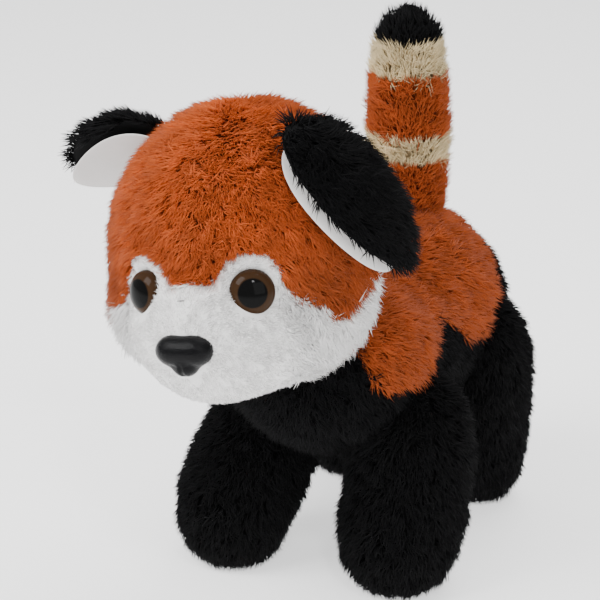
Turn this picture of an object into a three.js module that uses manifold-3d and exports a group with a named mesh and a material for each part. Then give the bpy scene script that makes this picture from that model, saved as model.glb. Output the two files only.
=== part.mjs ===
// A small plush red panda that stands on four legs, with a banded upright tail.
// Millimetres, +Z up. The nose points towards -Y and the toy's left side is +X.
// Every solid is the outside of the pile, and each sewn fabric panel is a solid of its own.
import * as THREE from "three";
import { mergeVertices } from "three/addons/utils/BufferGeometryUtils.js";
import Module from "manifold-3d";

const wasm = await Module();
wasm.setup();

// Driving sizes
const GAP = 0.3; // kept between panels that touch
const TRIM_TOLERANCE = 0.07; // how far a trimmed surface may be eased from its true place
const SOLE_SINK = 4; // how far a rounded foot is pressed flat
const EYE_DIAMETER = 12;
const EYE_DOME = 3.6; // height of the eye's dome over its rim
const EYE_SHANK = 3; // depth of the eye behind its rim
const EYE_SINK = 1.3; // how far the rim sits below the outside of the pile
const HEAD_RADIUS = 41;
const TAIL_GIRTH = 12.6;
const EAR_THICKNESS = 7;
const LINING_THICKNESS = 3;
const LINING_LIFT = -3.4; // how far the lining lies in front of the ear's middle
const CUTTER = 200; // longer than any piece, for blocks that only cut

// Places of the main pieces in the toy's own frame
const TORSO_CENTRE = new THREE.Vector3(0, 8, 65);
const HEAD_CENTRE = new THREE.Vector3(-11, -38, 104);
const HEAD_YAW = THREE.MathUtils.degToRad(9.5); // the head looks to the toy's left
const HEAD_ROLL = THREE.MathUtils.degToRad(-7.5); // and leans over to its right
const FACE_AXIS = new THREE.Vector3(0, -1, -0.7).normalize(); // the middle of the white face

// Colours of the fabrics and plastic parts
const FABRIC = {
  orange: new THREE.MeshStandardMaterial({ color: 0xb8531f, roughness: 0.95 }),
  black: new THREE.MeshStandardMaterial({ color: 0x0d0d0f, roughness: 0.95 }),
  white: new THREE.MeshStandardMaterial({ color: 0xe4e2de, roughness: 0.95 }),
  cream: new THREE.MeshStandardMaterial({ color: 0xd8c594, roughness: 0.95 }),
  eye: new THREE.MeshStandardMaterial({ color: 0x1a1008, roughness: 0.08 }),
  nose: new THREE.MeshStandardMaterial({ color: 0x0b0c0d, roughness: 0.25 }),
  thread: new THREE.MeshStandardMaterial({ color: 0x151515, roughness: 0.8 }),
};

// A closed three.js geometry as a solid
function solidOf(geometry) {
  const bare = (geometry.index ? geometry.toNonIndexed() : geometry.clone());
  bare.deleteAttribute("normal");
  bare.deleteAttribute("uv");
  const merged = mergeVertices(bare, 1e-4);
  return new wasm.Manifold(new wasm.Mesh({
    numProp: 3,
    vertProperties: new Float32Array(merged.attributes.position.array),
    triVerts: new Uint32Array(merged.index.array),
  }));
}

// The largest closed surface of a solid as a geometry
function geometryOf(solid) {
  const pieces = solid.simplify(TRIM_TOLERANCE).decompose();
  const largest = pieces.reduce((a, b) => (a.volume() > b.volume() ? a : b));
  const mesh = largest.getMesh();
  const geometry = new THREE.BufferGeometry();
  geometry.setAttribute("position", new THREE.BufferAttribute(mesh.vertProperties, 3));
  geometry.setIndex(new THREE.BufferAttribute(mesh.triVerts, 1));
  geometry.computeVertexNormals();
  return geometry;
}

function meshOf(name, solid, material) {
  const mesh = new THREE.Mesh(geometryOf(solid), material);
  mesh.name = name;
  return mesh;
}

// How far an ellipsoid reaches from the origin along a unit direction, or 0 where it is missed
function reach(direction, { centre, radii }) {
  const d = new THREE.Vector3(direction.x / radii[0], direction.y / radii[1], direction.z / radii[2]);
  const c = new THREE.Vector3(centre[0] / radii[0], centre[1] / radii[1], centre[2] / radii[2]);
  const a = d.lengthSq();
  const b = d.dot(c);
  const root = b * b - a * (c.lengthSq() - 1);
  return root > 0 ? Math.max(0, (b + Math.sqrt(root)) / a) : 0;
}

// A stuffed form: ellipsoids round one centre, blended into a single smooth surface
function stuffed(lumps, { blend = 14, around = 40, along = 26, grow = 0 } = {}) {
  const geometry = new THREE.SphereGeometry(1, around, along);
  const position = geometry.attributes.position;
  const direction = new THREE.Vector3();
  for (let i = 0; i < position.count; i++) {
    direction.fromBufferAttribute(position, i).normalize();
    const radius = lumps.reduce((sum, lump) => sum + reach(direction, lump) ** blend, 0) ** (1 / blend);
    direction.multiplyScalar(radius + grow);
    position.setXYZ(i, direction.x, direction.y, direction.z);
  }
  return geometry;
}

// A limb: a sphere's rings strung along a curve, with rounded ends
function limb(points, girths, { roundness = 4, around = 24, along = 16, grow = 0 } = {}) {
  const curve = new THREE.CatmullRomCurve3(points.map((p) => new THREE.Vector3(...p)));
  const geometry = new THREE.SphereGeometry(1, around, along);
  const position = geometry.attributes.position;
  for (let i = 0; i < position.count; i++) {
    const height = THREE.MathUtils.clamp(position.getY(i), -1, 1);
    const t = (1 - height) / 2;
    const ring = Math.hypot(position.getX(i), position.getZ(i)) || 1;
    const place = t * (girths.length - 1);
    const step = Math.min(Math.floor(place), girths.length - 2);
    const girth = THREE.MathUtils.lerp(girths[step], girths[step + 1], place - step);
    const end = Math.max(0, 1 - Math.abs(2 * t - 1) ** roundness) ** 0.5;
    const tangent = curve.getTangentAt(t);
    const side = new THREE.Vector3(1, 0, 0).addScaledVector(tangent, -tangent.x).normalize();
    const front = new THREE.Vector3().crossVectors(tangent, side);
    const at = curve.getPointAt(t)
      .addScaledVector(tangent, (2 * t - 1) * grow)
      .addScaledVector(side, (position.getX(i) / ring) * end * (girth + grow))
      .addScaledVector(front, (position.getZ(i) / ring) * end * (girth + grow));
    position.setXYZ(i, at.x, at.y, at.z);
  }
  return geometry;
}

// A cone of directions from the origin, whose outline is a list of [degrees round, degrees out] about an axis
function mask(axis, outline, { grow = 0, reachOut = 95, back = 0 } = {}) {
  const up = new THREE.Vector3(0, 0, 1).addScaledVector(axis, -axis.z).normalize();
  const left = new THREE.Vector3().crossVectors(axis, up).negate();
  const curve = new THREE.CatmullRomCurve3(
    outline.map(([round, out]) => new THREE.Vector3(round, out, 0)), false, "catmullrom", 0.5);
  const corners = [axis.clone().multiplyScalar(-back), axis.clone().multiplyScalar(reachOut * 1.4)];
  const steps = 60;
  for (let i = 0; i < steps; i++) {
    const at = curve.getPoint(i / steps);
    const round = THREE.MathUtils.degToRad(at.x);
    const out = THREE.MathUtils.degToRad(at.y) + grow / HEAD_RADIUS;
    corners.push(axis.clone().multiplyScalar(Math.cos(out))
      .addScaledVector(up, Math.sin(out) * Math.cos(round))
      .addScaledVector(left, Math.sin(out) * Math.sin(round))
      .multiplyScalar(reachOut));
  }
  const index = [];
  for (let i = 0; i < steps; i++) {
    const a = 2 + i;
    const b = 2 + ((i + 1) % steps);
    index.push(0, a, b, 1, b, a);
  }
  const geometry = new THREE.BufferGeometry().setFromPoints(corners);
  geometry.setIndex(index);
  return geometry;
}

// Mirrors one side's outline about the top, so that it runs all the way round
function bothSides(half) {
  const other = half.slice(1, -1).reverse().map(([round, out]) => [360 - round, out]);
  return [...half, ...other, [360, half[0][1]]];
}

// The matrix whose columns are a leaf's width, length and back directions, at a place
function leafFrame(place, lengthway, backward) {
  const y = new THREE.Vector3(...lengthway).normalize();
  const z = new THREE.Vector3(...backward);
  z.addScaledVector(y, -y.dot(z)).normalize();
  const x = new THREE.Vector3().crossVectors(y, z);
  return new THREE.Matrix4().makeBasis(x, y, z).setPosition(new THREE.Vector3(...place));
}

// An ear's layer: a rounded leaf that runs along +Y and cups away from +Z
function leaf({ start, end, width, aside, taper }, thickness, { cup = 3, arch, lift, grow }) {
  const geometry = new THREE.SphereGeometry(1, 24, 14);
  const position = geometry.attributes.position;
  for (let i = 0; i < position.count; i++) {
    const along = position.getY(i);
    const across = position.getX(i);
    const x = aside + across * (width / 2 + grow) * (1 - taper * along);
    const y = (start + end) / 2 + along * ((end - start) / 2 + grow);
    const bend = cup * across * across + arch * along * along;
    const z = position.getZ(i) * (thickness / 2 + grow) + lift - bend;
    position.setXYZ(i, x, y, z);
  }
  return geometry;
}

// The head in its own frame
const HEAD_LUMPS = [
  { centre: [0.5, 0, 1], radii: [38.5, 40, 40] }, // cranium
  { centre: [0, -20, -14], radii: [24, 31, 22] }, // muzzle
  { centre: [18, -10, -14], radii: [19, 22, 20] }, // left cheek
  { centre: [-18, -10, -14], radii: [19, 22, 20] }, // right cheek
];
const headSurface = (grow) => stuffed(HEAD_LUMPS, { blend: 16, around: 44, along: 30, grow });
const headForm = (grow = 0) => solidOf(headSurface(grow));
// Outlines of the white face and of its smooth middle panel, as [degrees round, degrees out] of FACE_AXIS
const BROW_OUTLINE = [[0, 38], [14, 38], [18, 47], [26, 52], [36, 54], [44, 52]];
const WHITE_OUTLINE = bothSides([
  ...BROW_OUTLINE, [50, 48], [57, 45.5], [66, 45], [72, 48], [77, 51], [83, 47.5], [88, 53],
  [90, 64], [94, 78], [101, 88], [110, 76], [120, 58], [150, 48], [180, 46],
]);
const PANEL_OUTLINE = bothSides([
  ...BROW_OUTLINE, [50, 45], [57, 39], [68, 34], [83, 31], [110, 28], [137, 28], [160, 34], [180, 40],
]);

function eyeForm(side, grow = 0) {
  const radius = EYE_DIAMETER / 2 + grow;
  const dome = EYE_DOME + grow;
  const profile = [new THREE.Vector2(0, -EYE_SHANK - grow), new THREE.Vector2(radius, -EYE_SHANK - grow)];
  for (let i = 0; i <= 6; i++) {
    const angle = (i / 6) * (Math.PI / 2);
    profile.push(new THREE.Vector2(radius * Math.cos(angle), dome * Math.sin(angle)));
  }
  profile[profile.length - 1].x = 0;
  const geometry = new THREE.LatheGeometry(profile, 28);
  const direction = new THREE.Vector3(side * 0.385, -0.92, -0.045).normalize();
  const facing = new THREE.Vector3(side * 0.44, -0.88, 0.18).normalize();
  const turn = new THREE.Quaternion().setFromUnitVectors(new THREE.Vector3(0, 1, 0), facing);
  geometry.applyQuaternion(turn);
  const out = HEAD_LUMPS.reduce((most, lump) => Math.max(most, reach(direction, lump)), 0);
  geometry.translate(...direction.multiplyScalar(out - EYE_SINK).toArray());
  return solidOf(geometry);
}

// The nose about its own centre: a broad top that swells at both sides, over a narrow lip
const NOSE_CENTRE = [0, -48.6, -13.4];
const NOSE_LUMPS = [
  { centre: [0, 0, 0.6], radii: [7, 4.6, 4] },
  { centre: [-3.2, 0.2, 0.4], radii: [3.9, 4, 3.7] },
  { centre: [3.2, 0.2, 0.4], radii: [3.9, 4, 3.7] },
  { centre: [0, -0.2, -3], radii: [3, 3.6, 3.2] },
];
const noseForm = (grow = 0) => solidOf(stuffed(NOSE_LUMPS, { blend: 6, around: 24, along: 16, grow })
  .translate(...NOSE_CENTRE));
const nostril = (side) => solidOf(new THREE.SphereGeometry(1, 12, 8).scale(1.3, 1, 0.7)
  .translate(side * 2.3, -52.8, -16.2));

// A few short turns of thread under the nose
const mouthStitch = (grow = 0) => solidOf(new THREE.SphereGeometry(1, 10, 8)
  .scale(1.5 + grow, 0.9 + grow, 0.8 + grow).translate(1.2, -48.6, -21.2));

// Each ear: where its root sits, which way it runs, which way its black back faces, and its two layers.
// Start and end are places along the ear, aside moves a layer across it, and taper narrows it to its tip
const EARS = {
  left: {
    place: [27, -20, 40], lengthway: [0.53, 0.17, -0.83], backward: [0.83, -0.35, 0.44], arch: 6,
    back: { start: -2, end: 50, width: 29.5, aside: 0.3, taper: 0.12 },
    lining: { start: 4, end: 48, width: 27, aside: 0.8, taper: 0.12 },
  },
  right: {
    place: [-17, 2, 33.5], lengthway: [-0.86, 0.28, -0.27], backward: [0.02, 0.84, 0.54], arch: 4,
    back: { start: 0, end: 43, width: 25, aside: -1, taper: 0.12 },
    lining: { start: 0, end: 42, width: 20, aside: 1, taper: 0.3 },
  },
};

function earForms(name) {
  const { place, lengthway, backward, arch, back, lining } = EARS[name];
  const frame = leafFrame(place, lengthway, backward);
  const layer = (sizes, thickness, lift, grow = 0) => (
    solidOf(leaf(sizes, thickness, { arch, lift, grow }).applyMatrix4(frame)));
  const room = layer(lining, LINING_THICKNESS, LINING_LIFT, GAP);
  return {
    back: layer(back, EAR_THICKNESS, 0).subtract(room),
    lining: layer(lining, LINING_THICKNESS, LINING_LIFT),
  };
}

// The torso about its centre
const TORSO_LUMPS = [
  { centre: [0, -22, 0], radii: [32, 28, 27] }, // chest and shoulders
  { centre: [-1, 2, 0], radii: [30, 32, 28] }, // barrel
  { centre: [-3, 27, 0], radii: [33, 36, 32] }, // rump
];
const torsoForm = (grow = 0) => solidOf(stuffed(TORSO_LUMPS, { blend: 10, grow })
  .translate(...TORSO_CENTRE.toArray()));

// The seam between the orange back and the black belly, as [degrees round from the chest, height]
const SADDLE_SEAM = bothSides([
  [0, 110], [15, 96], [22, 79], [28, 71], [34, 65], [48, 64.5], [62, 67], [76, 71], [86, 76],
  [100, 71.5], [114, 66], [128, 63], [140, 72], [156, 84], [180, 86],
]);

// All that lies above the seam: level spokes from a thin core out to a wide ring, under a flat top
function saddleVolume(drop = 0) {
  const [core, wide, top] = [3, 120, 140];
  const steps = 56;
  const curve = new THREE.CatmullRomCurve3(
    SADDLE_SEAM.map(([round, height]) => new THREE.Vector3(round, height - drop, 0)),
    false, "catmullrom", 0.5);
  const heights = Array.from({ length: steps }, (_, i) => curve.getPoint(i / steps));
  const ring = (radius, height) => heights.map((at) => {
    const round = THREE.MathUtils.degToRad(at.x);
    return new THREE.Vector3(Math.sin(round) * radius, -Math.cos(round) * radius, height ?? at.y);
  });
  const middle = new THREE.Vector3(0, 0, TORSO_CENTRE.z);
  const corners = [middle, middle.clone().setZ(top), ...ring(core), ...ring(wide), ...ring(wide, top)];
  const index = [];
  for (let i = 0; i < steps; i++) {
    const next = (i + 1) % steps;
    const [a, b, c] = [2 + i, 2 + steps + i, 2 + 2 * steps + i];
    const [d, e, f] = [2 + next, 2 + steps + next, 2 + 2 * steps + next];
    index.push(0, d, a, a, d, e, a, e, b, b, e, f, b, f, c, c, f, 1);
  }
  const geometry = new THREE.BufferGeometry().setFromPoints(corners);
  geometry.setIndex(index);
  return solidOf(geometry.translate(TORSO_CENTRE.x, TORSO_CENTRE.y, 0));
}

// Each leg: its line from inside the body down to the foot, and its girths along it
const HIND_GIRTHS = [20, 19, 17, 15.5];
const LEGS = {
  leg_front_left: {
    line: [[23, -8, 66], [26, -11, 40], [25, -15, 18], [23, -17, -SOLE_SINK]], girths: [17, 19.5, 19.5, 18],
  },
  leg_front_right: {
    line: [[-17, -8, 66], [-20, -12, 42], [-25, -22, 20], [-27, -27, -SOLE_SINK]],
    girths: [17, 18.5, 19.5, 17.5],
  },
  leg_hind_left: {
    line: [[18, 36, 72], [20, 43, 46], [19, 49, 22], [17, 53, -SOLE_SINK]], girths: HIND_GIRTHS,
  },
  leg_hind_right: {
    line: [[-20, 36, 72], [-23, 42, 46], [-26, 47, 22], [-27, 51, -SOLE_SINK]], girths: HIND_GIRTHS,
  },
};
const legForm = ({ line, girths }, grow = 0) => solidOf(limb(line, girths, { grow, roundness: 5 }));

// The tail stands up from the rump. Each ring is a length of it
const TAIL_LINE = [[-3, 41, 84], [-3, 41, 103], [-3, 40, 129], [-2, 37, 157.5]];
const TAIL_GIRTHS = [TAIL_GIRTH - 1, TAIL_GIRTH, TAIL_GIRTH + 0.5, TAIL_GIRTH - 0.5, TAIL_GIRTH - 2];
const tailForm = (grow = 0) => solidOf(limb(TAIL_LINE, TAIL_GIRTHS, { grow, roundness: 8, along: 20 }));
const TAIL_RINGS = [
  ["tail_base", 70, 111, "orange"],
  ["tail_ring_lower", 111, 119, "cream"],
  ["tail_middle", 119, 137, "orange"],
  ["tail_ring_upper", 137, 147, "cream"],
  ["tail_tip", 147, 175, "black"],
];
const slab = (low, high) => solidOf(new THREE.BoxGeometry(CUTTER, CUTTER, high - low)
  .translate(0, 0, (low + high) / 2));

function buildHead() {
  const head = new THREE.Group();
  head.position.copy(HEAD_CENTRE);
  head.rotation.set(0, HEAD_ROLL, HEAD_YAW, "ZYX");
  head.updateMatrix();

  let form = headForm();
  const white = solidOf(mask(FACE_AXIS, WHITE_OUTLINE));
  const whiteRoom = solidOf(mask(FACE_AXIS, WHITE_OUTLINE, { grow: GAP, back: 1 }));
  const panel = solidOf(mask(FACE_AXIS, PANEL_OUTLINE));
  const panelRoom = solidOf(mask(FACE_AXIS, PANEL_OUTLINE, { grow: GAP, back: 0.6 }));
  const sockets = noseForm(GAP).add(eyeForm(1, GAP)).add(eyeForm(-1, GAP)).add(mouthStitch(GAP));
  form = form.subtract(sockets);
  const face = form.intersect(white);
  const cheeks = face.subtract(panelRoom);
  const half = (side) => solidOf(new THREE.BoxGeometry(CUTTER / 2, CUTTER, CUTTER)
    .translate(side * (CUTTER / 4 + GAP / 2), 0, 0));
  head.add(meshOf("head_cap", form.subtract(whiteRoom), FABRIC.orange));
  head.add(meshOf("face_panel", face.intersect(panel), FABRIC.white));
  head.add(meshOf("cheek_left", cheeks.intersect(half(1)), FABRIC.white));
  head.add(meshOf("cheek_right", cheeks.intersect(half(-1)), FABRIC.white));
  head.add(meshOf("eye_left", eyeForm(1), FABRIC.eye));
  head.add(meshOf("eye_right", eyeForm(-1), FABRIC.eye));
  head.add(meshOf("nose", noseForm().subtract(nostril(1)).subtract(nostril(-1)), FABRIC.nose));
  head.add(meshOf("mouth_stitch", mouthStitch(), FABRIC.thread));

  const room = headForm(GAP);
  for (const name of Object.keys(EARS)) {
    const { back, lining } = earForms(name);
    head.add(meshOf(`ear_${name}`, back.subtract(room), FABRIC.black));
    head.add(meshOf(`ear_${name}_lining`, lining.subtract(room), FABRIC.white));
  }
  return head;
}

function buildToy() {
  const toy = new THREE.Group();
  const torso = torsoForm();
  const head = buildHead();
  const headRoom = solidOf(headSurface(GAP).applyMatrix4(head.matrix));
  const floor = slab(-CUTTER, 0);
  toy.add(head);

  const trunk = torso.subtract(headRoom).subtract(tailForm(GAP));
  const legs = Object.entries(LEGS).map(([name, leg]) => [name, legForm(leg).subtract(floor)]);
  const torsoRoom = torsoForm(GAP);
  for (const [name, leg] of legs) {
    toy.add(meshOf(name, leg.subtract(torsoRoom).subtract(headRoom), FABRIC.black));
  }
  toy.add(meshOf("torso_saddle", trunk.intersect(saddleVolume()), FABRIC.orange));
  toy.add(meshOf("torso_belly", trunk.subtract(saddleVolume(GAP)), FABRIC.black));

  const tail = tailForm();
  for (const [name, low, high, fabric] of TAIL_RINGS) {
    toy.add(meshOf(name, tail.intersect(slab(low, high - GAP)), FABRIC[fabric]));
  }

  // The row's origin is the middle of the toy's footprint, on the floor
  toy.updateMatrixWorld(true);
  const middle = new THREE.Box3().setFromObject(toy, true).getCenter(new THREE.Vector3());
  toy.position.set(-middle.x, -middle.y, 0);
  return toy;
}

export default buildToy();
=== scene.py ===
import math
import bpy
import numpy as np
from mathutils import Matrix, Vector, kdtree


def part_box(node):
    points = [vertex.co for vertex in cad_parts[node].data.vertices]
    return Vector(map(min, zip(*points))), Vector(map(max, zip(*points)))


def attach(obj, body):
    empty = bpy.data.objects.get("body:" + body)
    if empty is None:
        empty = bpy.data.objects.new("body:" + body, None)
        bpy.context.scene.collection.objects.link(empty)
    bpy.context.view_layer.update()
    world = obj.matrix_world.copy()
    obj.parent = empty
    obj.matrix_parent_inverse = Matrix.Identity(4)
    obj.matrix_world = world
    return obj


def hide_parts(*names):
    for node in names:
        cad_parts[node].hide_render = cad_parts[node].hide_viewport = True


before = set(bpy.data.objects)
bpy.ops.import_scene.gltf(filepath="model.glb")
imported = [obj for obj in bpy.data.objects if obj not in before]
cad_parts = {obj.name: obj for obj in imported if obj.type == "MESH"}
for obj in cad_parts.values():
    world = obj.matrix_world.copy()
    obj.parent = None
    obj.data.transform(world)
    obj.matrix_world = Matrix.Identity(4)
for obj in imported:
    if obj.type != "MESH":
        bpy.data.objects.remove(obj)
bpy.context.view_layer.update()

# The toy is drawn in millimetres in its own frame: the nose points to -Y and its left side is +X
MM = 0.001

# Named sizes shared with the solids. The eye's dome stands over its rim, its shank lies behind it,
# and the rim sinks below the outside of the pile
EYE_RADIUS = 6.0
EYE_DOME = 3.6
EYE_SHANK = 3.0
EYE_SINK = 1.3
HEAD_CENTRE = np.array([-11.0, -38.0, 104.0])
HEAD_YAW = math.radians(9.5)
HEAD_ROLL = math.radians(-7.5)
FACE_AXIS = np.array([0.0, -1.0, -0.7]) / math.hypot(1.0, 0.7)
HEAD_LUMPS = [
    ((0.5, 0, 1), (38.5, 40, 40)),
    ((0, -20, -14), (24, 31, 22)),
    ((18, -10, -14), (19, 22, 20)),
    ((-18, -10, -14), (19, 22, 20)),
]
HEAD_BLEND = 16
NOSE_CENTRE = np.array([0.0, -48.6, -13.4])
NOSE_LUMPS = [
    ((0, 0, 0.6), (7.0, 4.6, 4.0)),
    ((-3.2, 0.2, 0.4), (3.9, 4.0, 3.7)),
    ((3.2, 0.2, 0.4), (3.9, 4.0, 3.7)),
    ((0, -0.2, -3.0), (3.5, 3.8, 3.3)),
]
NOSE_BLEND = 6
TORSO_CENTRE = np.array([0.0, 8.0, 65.0])
TORSO_LUMPS = [
    ((0, -22, 0), (32, 28, 27)),
    ((-1, 2, 0), (30, 32, 28)),
    ((-3, 27, 0), (33, 36, 32)),
]
TORSO_BLEND = 10
# Each leg's middle line from the hip down, and its girths along it
LEGS = {
    "leg_front_left": (
        [[23, -8, 66], [26, -11, 40], [25, -15, 18], [23, -17, -4]],
        [17, 19.5, 19.5, 18]),
    "leg_front_right": (
        [[-17, -8, 66], [-20, -12, 42], [-25, -22, 20], [-27, -27, -4]],
        [17, 18.5, 19.5, 17.5]),
    "leg_hind_left": (
        [[18, 36, 72], [20, 43, 46], [19, 49, 22], [17, 53, -4]],
        [20, 19, 17, 15.5]),
    "leg_hind_right": (
        [[-20, 36, 72], [-23, 42, 46], [-26, 47, 22], [-27, 51, -4]],
        [20, 19, 17, 15.5]),
}
LIMB_ROUNDNESS = dict(leg=5, tail=8)
TAIL_LINE = [[-3, 41, 84], [-3, 41, 103], [-3, 40, 129], [-2, 37, 157.5]]
TAIL_GIRTHS = [11.6, 12.6, 13.1, 12.1, 10.6]
# Each ear has two layers. Aside moves a layer across the ear, and start is where it begins along it
EARS = {
    "ear_left": dict(
        place=(27, -20, 40), lengthway=(0.53, 0.17, -0.83), backward=(0.83, -0.35, 0.44), arch=6,
        back=dict(start=-2, end=50, width=29.5, aside=0.3, taper=0.12),
        lining=dict(start=4, end=48, width=27, aside=0.8, taper=0.12)),
    "ear_right": dict(
        place=(-17, 2, 33.5), lengthway=(-0.86, 0.28, -0.27), backward=(0.02, 0.84, 0.54), arch=4,
        back=dict(start=0, end=43, width=25, aside=-1, taper=0.12),
        lining=dict(start=0, end=42, width=20, aside=1.0, taper=0.3)),
}
SOLE_HEIGHT = 0.5
# The seam of the orange back, as (degrees round from the chest, height)
SADDLE_SEAM = [
    (0, 110), (15, 96), (22, 79), (28, 71), (34, 65), (48, 64.5), (62, 67), (76, 71), (86, 76),
    (100, 71.5), (114, 66), (128, 63), (140, 72), (156, 84), (180, 86),
]
# The white face and its smooth middle panel, as (degrees round, degrees out) of the face axis
BROW_OUTLINE = [(0, 38), (14, 38), (18, 47), (26, 52), (36, 54), (44, 52)]
WHITE_OUTLINE = BROW_OUTLINE + [
    (50, 48), (57, 45.5), (66, 45), (72, 48), (77, 51), (83, 47.5), (88, 53),
    (90, 64), (94, 78), (101, 88), (110, 76), (120, 58), (150, 48), (180, 46),
]
PANEL_OUTLINE = BROW_OUTLINE + [
    (50, 45), (57, 39), (68, 34), (83, 31), (110, 28), (137, 28), (160, 34), (180, 40),
]
TAIL_BANDS = [(111, "orange"), (119, "cream"), (137, "orange"), (147, "cream"), (200, "black")]

# How deep the fabric backing lies under the tips of each pile
PILE = dict(orange=3.6, black=3.9, cheek=3.8, panel=1.2, tail=3.9)
# How long the tufts are. The orange ones grow from the seam, and the white ones from the smooth panel's edge
LENGTH = dict(
    seam=3.4, seam_slope=0.8, orange=5.8, panel_edge=2.4, cheek=3.8, rim=2.4, face=2.2,
    torso=5.8, leg=5.4, tail=6.0, ear=5.6,
)
TUFT_WIDTH = 0.4
COARSE_WIDTH = TUFT_WIDTH + 0.06
FACE_WIDTH = 0.3

# The head's skin: a shallow socket round each eye, and cheeks tucked in under the jaw
SOCKET_REACH = 40.0
SOCKET_DEPTH = 1.7
CHEEK_TUCK = 2.6
# The depth of the pile changes over these degrees beside the panel, on the cheeks and on the orange
CHEEK_FADE = -12.0
SEAM_FADE = 3.0
# How uneven the stuffing is: the height of its waves, their size on a ball, and their seed
UNEVEN = dict(
    head=dict(height=0.25, ball=40, wave=16, seed=3),
    torso=dict(height=0.5, ball=35, wave=22, seed=4),
)
# Rings round and along each kind of skin
GRIDS = dict(
    head=(96, 64), torso=(80, 56), limb=(48, 44), ear=(40, 28), eye=(48, 48), nose=(96, 72), thread=(12, 12),
)

# Colours of the pile in linear light
COLOURS = dict(
    orange=np.array([0.47, 0.087, 0.016]),
    black=np.array([0.0032, 0.0032, 0.0036]),
    white=np.array([0.80, 0.79, 0.78]),
    cream=np.array([0.66, 0.53, 0.31]),
    lining=np.array([0.66, 0.64, 0.625]),
)
# Painted shade: the saddle's and tail's orange is the same fabric as the head's, painted darker by this share
# as painted shade on the back and tail
SADDLE_PAINTED_SHADE = 0.76
# The colour of each skin, as a share of its pile's: painted shade, standing in for the shade deep in the pile
SKIN_PAINTED_SHADE = dict(head=0.75, torso=0.7, leg=0.5, tail=0.7, ear=0.6)


# Small maths
def unit(v):
    return v / np.maximum(np.linalg.norm(v, axis=-1, keepdims=True), 1e-9)


def ease(x, low, high):
    t = np.clip((x - low) / (high - low), 0, 1)
    return t * t * (3 - 2 * t)


def turn_z(a):
    return np.array([[math.cos(a), -math.sin(a), 0], [math.sin(a), math.cos(a), 0], [0, 0, 1]])


def turn_y(a):
    return np.array([[math.cos(a), 0, math.sin(a)], [0, 1, 0], [-math.sin(a), 0, math.cos(a)]])


HEAD_TURN = turn_z(HEAD_YAW) @ turn_y(HEAD_ROLL)


def waves(points, size, seed, octaves=2):
    """A smooth seeded noise in about -1 to 1, from a few plane waves."""
    rng = np.random.default_rng(seed)
    total = np.zeros(len(points))
    weight = 0
    for octave in range(octaves):
        for _ in range(7):
            wave = unit(rng.normal(size=3)) * (2 * math.pi / size) * (1.9 ** octave) * rng.uniform(0.7, 1.4)
            total += np.sin(points @ wave + rng.uniform(0, 6.28)) * 0.6 ** octave
        weight += 7 ** 0.5 * 0.6 ** octave
    return total / weight


# Where the toy's own frame sits in the row's frame, from the tail's lower ring
RING_CENTRE = np.array([-3.1, 40.6])
ring_low, ring_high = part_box("tail_ring_lower")
ring_middle = np.array(ring_low + ring_high)[:2] / 2 / MM
SHIFT = np.append(ring_middle - RING_CENTRE, 0.0)


def row(points):
    """Millimetres in the toy's frame to metres in the row's frame."""
    return (np.asarray(points) + SHIFT) * MM


# The surfaces of the stuffed pieces. A curve takes this many steps between two of its points
SPAN_STEPS = 40


def reach(directions, lump):
    """How far an ellipsoid reaches from the origin along each unit direction."""
    centre, radii = np.array(lump[0], float), np.array(lump[1], float)
    d = directions / radii
    c = centre / radii
    a = (d * d).sum(-1)
    b = d @ c
    root = b * b - a * (c @ c - 1)
    return np.where(root > 0, np.maximum(0, (b + np.sqrt(np.maximum(root, 0))) / a), 0)


def blended(directions, lumps, blend):
    return sum(reach(directions, lump) ** blend for lump in lumps) ** (1 / blend)


def between(t, low, high, start, end):
    """A point that is start at low and end at high."""
    return (high - t) / (high - low) * start + (t - low) / (high - low) * end


def curve_through(points, count=200):
    """Even steps along a centripetal Catmull-Rom curve through the points."""
    p = np.array(points, float)
    p = np.vstack([2 * p[0] - p[1], p, 2 * p[-1] - p[-2]])
    steps = []
    for i in range(1, len(p) - 2):
        knots = [0.0]
        for k in range(3):
            knots.append(knots[-1] + np.linalg.norm(p[i + k] - p[i + k - 1]) ** 0.5)
        t = np.linspace(knots[1], knots[2], SPAN_STEPS, endpoint=False)[:, None]
        a1 = between(t, knots[0], knots[1], p[i - 1], p[i])
        a2 = between(t, knots[1], knots[2], p[i], p[i + 1])
        a3 = between(t, knots[2], knots[3], p[i + 1], p[i + 2])
        b1 = between(t, knots[0], knots[2], a1, a2)
        b2 = between(t, knots[1], knots[3], a2, a3)
        steps.append(between(t, knots[1], knots[2], b1, b2))
    steps.append(p[-2:-1])
    line = np.vstack(steps)
    length = np.concatenate([[0], np.cumsum(np.linalg.norm(np.diff(line, axis=0), axis=1))])
    even = np.linspace(0, length[-1], count)
    return np.stack([np.interp(even, length, line[:, k]) for k in range(3)], 1)


def ball_directions(around, along):
    """Unit directions on a ball's grid: one row for each ring, poles at the top and bottom."""
    phi = np.arange(around) / around * 2 * math.pi
    theta = np.arange(1, along) / along * math.pi
    ring = np.stack([np.sin(phi), -np.cos(phi)], 1)
    rows = [np.column_stack([ring * math.sin(t), np.full(around, math.cos(t))]) for t in theta]
    return np.vstack([[[0, 0, 1]], *rows, [[0, 0, -1]]])


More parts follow.
